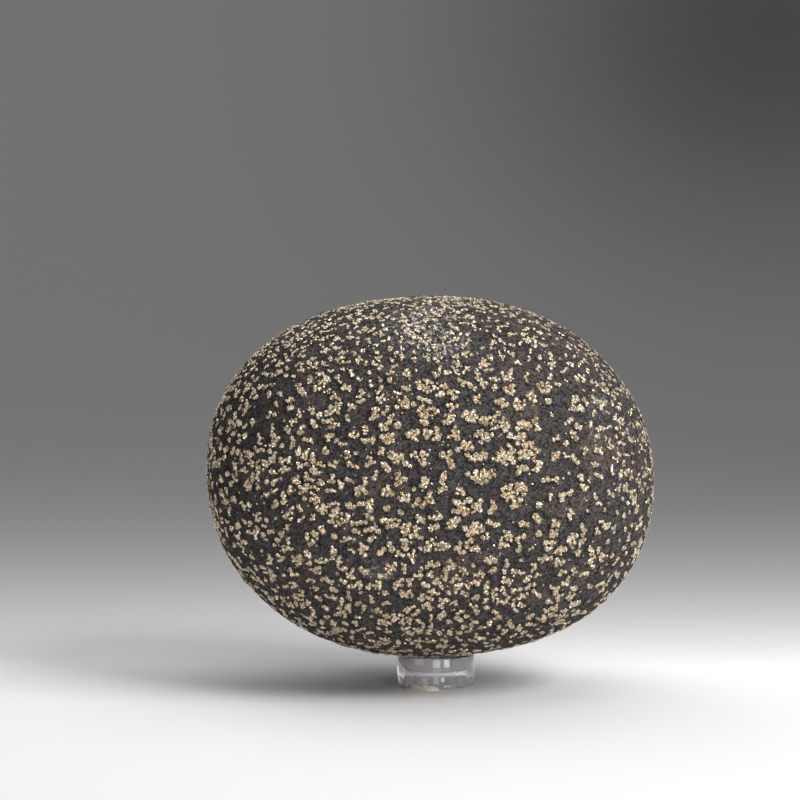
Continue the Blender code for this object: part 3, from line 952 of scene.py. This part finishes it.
    def grow_landmark(
        self, rng: np.random.RandomState, x: float, z: float, width: float, height: float
    ) -> None:
        """Fills a three-lobed oval of the broad face with nodules that overlap by a third.

        Args:
            rng: The draws.
            x: The oval's middle, in millimetres.
            z: The oval's middle, in millimetres.
            width: The oval's width, in millimetres.
            height: The oval's height, in millimetres.
        """
        middle = self.stone.seen_point(x * MM, z * MM)
        coarse = self.coarseness(middle)
        first = self.count
        for _ in range(int(14 + 5 * width * height)):
            outward, around, size = rng.random_sample(3)
            radius = coarse * (self.nodule_radius + 0.05 * MM + self.nodule_spread * size)
            turn = 2 * math.pi * around
            reach = math.sqrt(outward) * (0.86 + 0.2 * math.cos(3 * turn + x))
            point = self.stone.front_point(
                middle[0] + (width * MM / 2 - 0.7 * radius) * reach * math.cos(turn),
                middle[2] + (height * MM / 2 - 0.7 * radius) * reach * math.sin(turn),
            )
            crowded = self.meets(slice(first, self.count), point, radius, share=0.7)
            if crowded or self.meets(slice(0, first), point, radius, gap=0.12 * MM):
                continue
            self.add(point, radius)

    def scattered_seeds(self, rng: np.random.RandomState) -> Array:
        """Random darts, each kept if it is far enough from those before it."""
        points = self.stone.onto(rng.normal(size=(self.darts, 3)))
        spacing = self.seed_spacing * self.coarseness(points) * self.sparseness(points)
        kept: list[int] = []
        for index, point in enumerate(points):
            if (np.sum((points[kept] - point) ** 2, axis=1) > spacing[index] ** 2).all():
                kept.append(index)
        return points[kept]

    @staticmethod
    def nodules_in(draw: Array) -> int:
        """How many nodules a cluster has: many are single grains or pairs, a few are rosettes."""
        if draw[0] < 0.28:
            return 1 + int(draw[1] * 2)
        if draw[0] < 0.66:
            return 3 + int(draw[1] * 3)
        if draw[0] < 0.94:
            return 6 + int(draw[1] * 3)
        return 9 + int(draw[1] * 6)

    def grow_cluster(self, rng: np.random.RandomState, seed: Array) -> None:
        """Budding from a seed: each nodule sprouts from an earlier one, mostly along one heading.

        Args:
            rng: The draws.
            seed: Where the first nodule sits.
        """
        draw = rng.random_sample(3)
        count = self.nodules_in(draw)
        heading = draw[2] * 2 * math.pi
        coarse = self.coarseness(seed)
        away = np.abs(self.points[: self.count] - seed).max(axis=1)
        near = np.nonzero(away < self.neighbour_reach)[0]
        side = unit(np.cross(seed, ASIDE))
        other = np.cross(unit(seed), side)
        first = self.count
        for number in range(count):
            radius = coarse * (self.nodule_radius + self.nodule_spread * rng.random_sample())
            if count < 3:
                radius *= self.lone_growth
            for _ in range(self.tries):
                swerve, parent, back = rng.random_sample(3)
                point = seed
                if number:
                    base = first + int(parent * (self.count - first))
                    turn = heading + (swerve - 0.5) * self.swerve
                    turn += math.pi if back < self.turning_back else 0
                    step = (self.radii[base] + radius) * self.bud_step
                    bud = math.cos(turn) * side + math.sin(turn) * other
                    point = self.stone.onto(self.points[base] + step * bud)
                blocked = self.meets(near, point, radius, gap=self.cluster_gap) or self.on_patch(point)
                crowded = self.meets(slice(first, self.count), point, radius, share=self.cluster_overlap)
                if not blocked and not crowded:
                    self.add(point, radius)
                    break
                if not number:
                    break
            if self.count == first:
                return


@dataclass
class Pyrite:
    """The raised pyrite: faceted nodules, small crystals on them, and specks in the shale."""

    stone: Stone
    growth: Growth
    height: float = 0.52 * MM
    sunk: float = 0.14 * MM
    large: float = 0.50 * MM
    crystals: int = 16000
    specks: int = 2400
    # The least and greatest sides of the crystals and of the specks, in millimetres
    crystal_sides: tuple[float, float] = (0.22, 0.42)
    speck_sides: tuple[float, float] = (0.14, 0.34)
    seed: int = 7

    def __post_init__(self) -> None:
        """Starts the draws."""
        self.rng = np.random.RandomState(self.seed)

    @staticmethod
    def dome(around: int, rings: Sequence[tuple[float, float]]) -> tuple[Array, Array]:
        """A nodule's closed pattern: rings of points from its foot to its top, and one above them.

        Args:
            around: How many points a ring has.
            rings: Each ring's share of the radius and of the height, from the foot.

        Returns:
            Points as (across, along, up) in shares of radius and height, and triangles.
        """
        turns = np.arange(around) * 2 * math.pi / around
        layers = [
            np.stack([share * np.cos(turns + 0.5 * n), share * np.sin(turns + 0.5 * n), 0 * turns + up], 1)
            for n, (share, up) in enumerate(rings)
        ]
        points = np.concatenate([*layers, [[0, 0, 1]]])
        one = np.arange(around)
        two = (one + 1) % around
        faces = []
        for n in range(len(rings) - 1):
            low, high = n * around, (n + 1) * around
            faces.append(np.stack([low + one, low + two, high + one], 1))
            faces.append(np.stack([low + two, high + two, high + one], 1))
        top = (len(rings) - 1) * around
        faces.append(np.stack([top + one, top + two, 0 * one + len(points) - 1], 1))
        foot = np.arange(1, around - 1)
        faces.append(np.stack([0 * foot, foot + 1, foot], 1))
        return points, np.concatenate(faces)

    def frames(self, points: Array) -> tuple[Array, Array, Array]:
        """Two tangents at random turns, and the normal, at each point of the stone."""
        out = self.stone.normal(points)
        side = unit(np.cross(out, ASIDE))
        other = np.cross(out, side)
        turn = self.rng.random_sample(len(points))[:, None] * 2 * math.pi
        return np.cos(turn) * side + np.sin(turn) * other, np.cos(turn) * other - np.sin(turn) * side, out

    def nodules(self, name: str, rows: Array, coarse: bool, finish: bpy.types.Material) -> bpy.types.Object:
        """Builds some of the nodules as one piece.

        Each point of a nodule's pattern is laid on the stone's surface beside the nodule's middle and
        raised along the normal, with its own small random shift, so that the facets glint apart.

        Args:
            name: The piece's name.
            rows: Which nodules.
            coarse: True for the pattern with fewer facets.
            finish: The pyrite.

        Returns:
            The piece.
        """
        if coarse:
            domed, faces = self.dome(8, ((1.0, -0.3), (0.97, 0.48), (0.60, 0.9)))
            plated, _ = self.dome(8, ((1.0, -0.3), (1.02, 0.70), (0.72, 0.98)))
        else:
            domed, faces = self.dome(11, ((1.0, -0.3), (1.03, 0.38), (0.80, 0.80), (0.42, 0.97)))
            plated, _ = self.dome(11, ((1.0, -0.3), (1.04, 0.64), (0.92, 0.94), (0.46, 1.0)))
        middles, radii = self.growth.points[rows], self.growth.radii[rows]
        side, other, out = self.frames(middles)
        plate = self.stone.flaky(middles)[:, None]
        pattern = domed + plate[..., None] * (plated - domed)
        count, corners = len(rows), len(domed)
        shift = self.rng.uniform(-1, 1, (count, corners, 2))
        reach = radii[:, None] * (1 + 0.19 * shift[..., 0])
        tall = np.minimum(0.95 * radii, self.height) * self.rng.uniform(0.8, 1.15, count)
        tall *= self.stone.proudness(middles)
        rise = pattern[..., 2] + (0.26 - 0.14 * plate) * shift[..., 1] * (pattern[..., 2] > 0)
        flat = (
            middles[:, None]
            + (reach * pattern[..., 0])[..., None] * side[:, None]
            + (reach * pattern[..., 1])[..., None] * other[:, None]
        )
        lift = np.where(rise < 0, -self.sunk, rise * tall[:, None])
        points = self.stone.skin(unit(flat)) + lift[..., None] * out[:, None]
        starts = (np.arange(count) * corners)[:, None, None]
        triangles = (faces[None] + starts).reshape(-1, 3)
        piece = add_mesh(name, points.reshape(-1, 3) + (0, 0, self.stone.middle), [triangles], smooth=False)
        tone = np.repeat(self.rng.random_sample(count), corners)
        # The pyrite's material paints shade where this is low, at each nodule's foot.
        set_attribute(piece, "rise", np.clip(rise, 0, 1))
        set_attribute(piece, "tone", tone)
        dress(piece, Slot.PYRITE, finish)
        return piece

    def cubes(
        self, name: str, middles: Array, sides: Array, finish: bpy.types.Material
    ) -> bpy.types.Object:
        """Small cubes turned at random, as one piece.

        Args:
            name: The piece's name.
            middles: Their middles, from the stone's middle.
            sides: Their side lengths.
            finish: The pyrite.

        Returns:
            The piece.
        """
        corners = np.array(list(itertools.product((-0.5, 0.5), repeat=3)))
        faces = np.array((
            (0, 1, 3, 2), (4, 6, 7, 5), (0, 4, 5, 1), (2, 3, 7, 6), (0, 2, 6, 4), (1, 5, 7, 3),
        ))
        one = unit(self.rng.normal(size=(len(middles), 3)))
        two = unit(np.cross(one, self.rng.normal(size=(len(middles), 3))))
        axes = np.stack([one, two, np.cross(one, two)], axis=1)
        stretch = self.rng.uniform(0.75, 1.25, (len(middles), 3))
        sized = corners[None] * (sides[:, None] * stretch)[:, None]
        points = middles[:, None] + np.einsum("nck,nkx->ncx", sized, axes)
        quads = (faces[None] + (np.arange(len(middles)) * 8)[:, None, None]).reshape(-1, 4)
        piece = add_mesh(name, points.reshape(-1, 3) + (0, 0, self.stone.middle), [quads], smooth=False)
        set_attribute(piece, "rise", np.ones(len(middles) * 8))
        set_attribute(piece, "tone", np.repeat(self.rng.random_sample(len(middles)), 8))
        dress(piece, Slot.PYRITE, finish)
        return piece

    def make(self, finish: bpy.types.Material) -> None:
        """Builds the nodules by quarter and size, then the crystals and the specks."""
        where, radii = self.growth.points, self.growth.radii
        for side, front in (("front", where[:, 1] < 0), ("back", where[:, 1] >= 0)):
            for half, left in (("left", where[:, 0] < 0), ("right", where[:, 0] >= 0)):
                for size, chosen in (("fine", radii < self.large), ("coarse", radii >= self.large)):
                    rows = np.nonzero(front & left & chosen)[0]
                    self.nodules(f"pyrite_{size}_{side}_{half}", rows, size == "fine", finish)
        self.crystals_on_nodules(finish)
        self.specks_in_shale(finish)

    def crystals_on_nodules(self, finish: bpy.types.Material) -> None:
        """Small cubes that stand out of the nodules' tops and shoulders."""
        radii = self.growth.radii
        rows = self.rng.choice(len(radii), self.crystals, p=radii**2 / (radii**2).sum())
        side, _, out = self.frames(self.growth.points[rows])
        share = np.sqrt(self.rng.random_sample(self.crystals)) * 0.9
        flat = self.growth.points[rows] + (share * radii[rows])[:, None] * side
        tall = np.minimum(0.9 * radii[rows], self.height) * (1 - share**2.6) ** 0.5
        tall *= self.stone.proudness(self.growth.points[rows])
        sizes = self.rng.uniform(*self.crystal_sides, self.crystals) * MM
        sizes = sizes * np.clip(radii[rows] / self.large, 0.7, 1.1)
        middles = self.stone.skin(unit(flat)) + (tall - 0.12 * MM)[:, None] * out
        self.cubes("pyrite_crystals", middles, sizes, finish)

    def specks_in_shale(self, finish: bpy.types.Material) -> None:
        """Tiny cubes half sunk in the shale between the clusters."""
        points = self.stone.onto(self.rng.normal(size=(self.specks, 3)))
        middles = self.stone.skin(unit(points))
        bare = np.hypot(points[:, 0] - self.growth.ring_x, points[:, 1]) > self.growth.patch_radius
        bare |= points[:, 2] > 0
        sizes = self.rng.uniform(*self.speck_sides, self.specks) * MM
        self.cubes("pyrite_specks", middles[bare], sizes[bare], finish)


@dataclass
class RingStand:
    """The short clear ring under the stone: polished walls and a turned bevel that seats the stone."""

    x: float = 1.2 * MM
    radius: float = 8.0 * MM
    bore: float = 4.4 * MM
    height: float = 6.4 * MM
    chamfer: float = 0.2 * MM
    bevel_width: float = 2.9 * MM
    bevel_height: float = 3.3 * MM
    edge: float = 0.02 * MM
    around: int = 160

    @property
    def seat(self) -> float:
        """How far from the ring's axis its bevel ends at the top."""
        return self.bore + self.bevel_width

    def profile(self) -> Array:
        """The wall's section as (radius, height), down the outside, up the bore and out along the bevel."""
        outer, bore, top, cut = self.radius, self.bore, self.height, self.chamfer
        bevel, edge = top - self.bevel_height, self.edge
        return np.array((
            (outer - cut, top), (outer - 0.3 * cut, top - 0.3 * cut), (outer, top - cut),
            (outer, cut), (outer - 0.3 * cut, 0.3 * cut), (outer - cut, 0),
            (bore + cut, 0), (bore + 0.3 * cut, 0.3 * cut), (bore, cut),
            (bore, bevel - edge), (bore, bevel), (self.seat, top), (self.seat + edge, top),
        ))

    def make(self, finish: bpy.types.Material) -> bpy.types.Object:
        """Turns the section round the ring's axis: a point is its radius times the turn's cosine and sine.

        Args:
            finish: The acrylic.

        Returns:
            The piece.
        """
        section = self.profile()
        turns = np.arange(self.around) * 2 * math.pi / self.around
        wide = section[None, :, 0]
        points = np.stack(
            [
                self.x + wide * np.cos(turns)[:, None],
                wide * np.sin(turns)[:, None],
                np.broadcast_to(section[None, :, 1], (self.around, len(section))),
            ],
            axis=-1,
        )
        here = np.arange(self.around)[:, None] * len(section)
        there = np.roll(here, -1, axis=0)
        one = np.arange(len(section))[None]
        two = np.roll(one, -1, axis=1)
        quads = np.stack([here + one, here + two, there + two, there + one], axis=-1).reshape(-1, 4)
        piece = add_mesh("clear_ring", points.reshape(-1, 3), [quads], smooth=True)
        piece.data.set_sharp_from_angle(angle=math.radians(30))
        turned = np.zeros((self.around, len(section)))
        # The bevel's own two edges; the points just beside them keep 0, so it ends crisply
        turned[:, -3:-1] = 1
        set_attribute(piece, "turned", turned)
        dress(piece, Slot.ACRYLIC, finish, "ring_stand")
        return piece


@dataclass
class PuttyDab:
    """The putty pressed against the ring's foot at its front left."""

    ring: RingStand
    start: float = math.radians(-45)
    end: float = math.radians(5)
    width: float = 1.3 * MM
    height: float = 1.2 * MM
    dip: float = 0.35
    grid: int = 44

    def make(self, finish: bpy.types.Material) -> bpy.types.Object:
        """A ball of latitude and longitude, drawn out along the ring's foot and flat below.

        The ball's length becomes an arc round the ring, its breadth a distance from the wall, and its
        upper half the height, lowered at the middle by a bell curve and kneaded by noise.

        Args:
            finish: The putty.

        Returns:
            The piece.
        """
        rows, turns = self.grid // 2, np.arange(self.grid) * 2 * math.pi / self.grid
        polar = np.arange(1, rows) * math.pi / rows
        along = np.cos(polar)[:, None] + 0 * turns
        across = np.sin(polar)[:, None] * np.cos(turns)
        up = np.sin(polar)[:, None] * np.sin(turns)
        ball = np.concatenate([[[1, 0, 0]], np.stack([along, across, up], -1).reshape(-1, 3), [[-1, 0, 0]]])
        lumpy = 1 + 0.16 * lattice_noise(ball, 0.45, 21) + 0.08 * lattice_noise(ball, 0.2, 22)
        turn = self.start + (self.end - self.start) * (ball[:, 0] + 1) / 2
        reach = self.ring.radius + self.width * (1 + ball[:, 1] * lumpy) / 2
        humps = 1 - self.dip * np.exp(-((ball[:, 0] / 0.22) ** 2))
        tall = self.height * humps * np.maximum(ball[:, 2], 0) * lumpy
        points = np.stack([self.ring.x + reach * np.sin(turn), -reach * np.cos(turn), tall], axis=-1)
        body = 1 + np.arange((rows - 1) * self.grid).reshape(rows - 1, self.grid)
        side = np.roll(body, -1, axis=1)
        quads = np.stack([body[:-1], side[:-1], side[1:], body[1:]], -1).reshape(-1, 4)
        first = np.stack([side[0], body[0], 0 * body[0]], -1)
        last = np.stack([body[-1], side[-1], 0 * body[-1] + len(points) - 1], -1)
        piece = add_mesh("kneaded_putty", points, [quads, first, last], smooth=True)
        dress(piece, Slot.PUTTY, finish, "putty_dab")
        return piece


@dataclass
class Studio:
    """A pale table that curves up into a sweep that glows grey with painted light, soft lights, and the
    camera.
    """

    middle: float
    frame: int = 800
    seen_at: tuple[float, float] = (430.2, 475.5)
    lens: float = 130.6
    sensor: float = 36.0
    half_width: float = 2.5
    near_edge: float = -2.0
    wall: float = 0.90
    curve: float = 0.25
    top: float = 1.4
    pale: Colour = (0.84, 0.84, 0.85)
    # The painted glow's grey, the middle and size of its painted dark patch, and where and how fast the lit
    # white fades out behind the object
    grey: float = 0.165
    corner: tuple[float, float] = (0.175, 0.175)
    corner_size: tuple[float, float] = (0.16, 0.13)
    fade_from: float = 0.02
    fade: float = 0.11
    # Each light: its name, place, size in metres, power in watts, and whether it only makes highlights
    lights: tuple[tuple[str, tuple[float, float, float], float, float, bool], ...] = (
        ("key", (0.62, -0.37, 0.62), 0.50, 8.0, False),
        ("top", (0.16, 0.12, 0.80), 0.80, 3.4, False),
        ("low front", (0.45, -0.70, 0.13), 0.22, 1.7, False),
        ("back", (-0.35, 0.45, 0.60), 0.60, 1.8, False),
        ("left card", (-0.75, -0.60, 0.30), 0.50, 2.6, True),
        ("front card", (0.05, -0.95, 0.20), 0.35, 2.4, True),
    )

    def make_sweep(self) -> None:
        """The table and the wall behind it: a profile of Y and Z carried along X.

        The profile runs level, then round a quarter circle, then up.
        """
        turns = np.linspace(0, math.pi / 2, 24)
        start = self.wall - self.curve
        bend = np.stack([start + self.curve * np.sin(turns), self.curve * (1 - np.cos(turns))], axis=1)
        profile = np.concatenate([[[self.near_edge, 0]], bend, [[self.wall, self.top]]])
        across = np.array((-self.half_width, self.half_width))
        points = np.empty((2, len(profile), 3))
        points[..., 0] = across[:, None]
        points[..., 1:] = profile
        low = np.arange(len(profile) - 1)
        high = low + len(profile)
        quads = np.stack([low, high, high + 1, low + 1], axis=1)
        sweep = add_mesh("sweep", points.reshape(-1, 3), [quads], smooth=True)
        sweep.data.materials.append(self.sweep_finish())

    def sweep_finish(self) -> bpy.types.Material:
        """White where the object stands, fading behind it into a painted glow of grey, with painted shade
        that is darkest at the upper right.
        """
        shader = Shader("paper sweep")
        x, y, z = shader.coordinates()
        aside = (x - self.corner[0]) * (1 / self.corner_size[0])
        above = (z - self.corner[1]) * (1 / self.corner_size[1])
        # Painted shade: a dark patch in the glow at the upper right
        shade = shader.exponent(-1.0 * (aside * aside + above * above))
        # Painted light: the white fades out behind the object as if less lit, and a glow takes its place
        behind = shader.maximum(y - self.fade_from, 0.0)
        lit = shader.exponent(behind * (-1 / self.fade))
        dim = (1 - lit) * (self.grey - 0.11 * shade)
        black, white = (0.0, 0.0, 0.0), (1.0, 1.0, 1.0)
        return shader.finish(
            Base_Color=shader.mix(lit, black, self.pale), Roughness=0.8, Specular_IOR_Level=0.1,
            Emission_Color=shader.mix(dim, black, white), Emission_Strength=1.0,
        )

    def make_lights(self) -> None:
        """Square soft lights, each aimed at the stone."""
        for name, place, size, power, glossy in self.lights:
            light = bpy.data.lights.new(name, "AREA")
            light.size = size
            light.energy = power
            lamp = bpy.data.objects.new(name, light)
            lamp.location = place
            lamp.visible_diffuse = not glossy
            aim = np.array((0, 0, self.middle)) - place
            level = math.hypot(aim[0], aim[1])
            lamp.rotation_euler = (math.atan2(level, -aim[2]), 0, math.atan2(-aim[0], aim[1]))
            bpy.context.scene.collection.objects.link(lamp)

    def make_world(self) -> None:
        """A dim grey room."""
        world = bpy.data.worlds.new("grey room")
        world.use_nodes = True
        world.node_tree.nodes["Background"].inputs[0].default_value = (0.02, 0.02, 0.02, 1)
        bpy.context.scene.world = world

    def make_camera(self) -> None:
        """A camera that sees the stone's middle at its own pixel of the frame."""
        camera = bpy.data.objects.new("camera", bpy.data.cameras.new("camera"))
        camera.data.lens = self.lens
        camera.data.sensor_width = self.sensor
        pixels = self.lens / self.sensor * self.frame
        right = math.atan((self.seen_at[0] - self.frame / 2) / pixels)
        down = math.atan((self.seen_at[1] - self.frame / 2) / pixels)
        level = CAMERA_DISTANCE * math.cos(CAMERA_RISE)
        camera.location = (0, -level, self.middle + CAMERA_DISTANCE * math.sin(CAMERA_RISE))
        camera.rotation_euler = (math.pi / 2 - CAMERA_RISE + down, 0, right)
        bpy.context.scene.collection.objects.link(camera)
        bpy.context.scene.camera = camera

    def make(self) -> None:
        """Sets up all of it."""
        self.make_camera()
        self.make_sweep()
        self.make_lights()
        self.make_world()
        bpy.context.scene.view_settings.view_transform = "Standard"


def contact_depth(stone: Stone, ring: RingStand) -> float:
    """How far below the stone's middle it meets the level ring.

    Args:
        stone: The stone.
        ring: The ring.

    Returns:
        The depth of the lowest point of its smooth form over the ring's flat top.
    """
    turns, reaches = np.meshgrid(np.linspace(0, 2 * math.pi, 181), np.linspace(ring.seat, ring.radius, 17))
    down = np.full(turns.shape, -stone.half_height)
    points = np.stack([ring.x + reaches * np.cos(turns), reaches * np.sin(turns), down], axis=-1)
    return float(-stone.onto(points)[..., 2].min())


def main() -> None:
    """Builds the pieces in order."""
    logging.basicConfig(level=logging.INFO, format="%(message)s")
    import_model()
    ring = RingStand()
    stone = Stone()
    stone.middle = ring.height + REST_GAP + contact_depth(stone, ring)
    Studio(stone.middle).make()
    shale = ShaleFinish().make()
    stone.make(shale)
    BeddingLips(stone).make(shale)
    growth = Growth(stone, ring.x)
    LOG.info("%d nodules", growth.count)
    Pyrite(stone, growth).make(PyriteFinish().make())
    ring.make(AcrylicFinish().make())
    PuttyDab(ring).make(PuttyFinish().make())


if __name__ == "__main__":
    main()
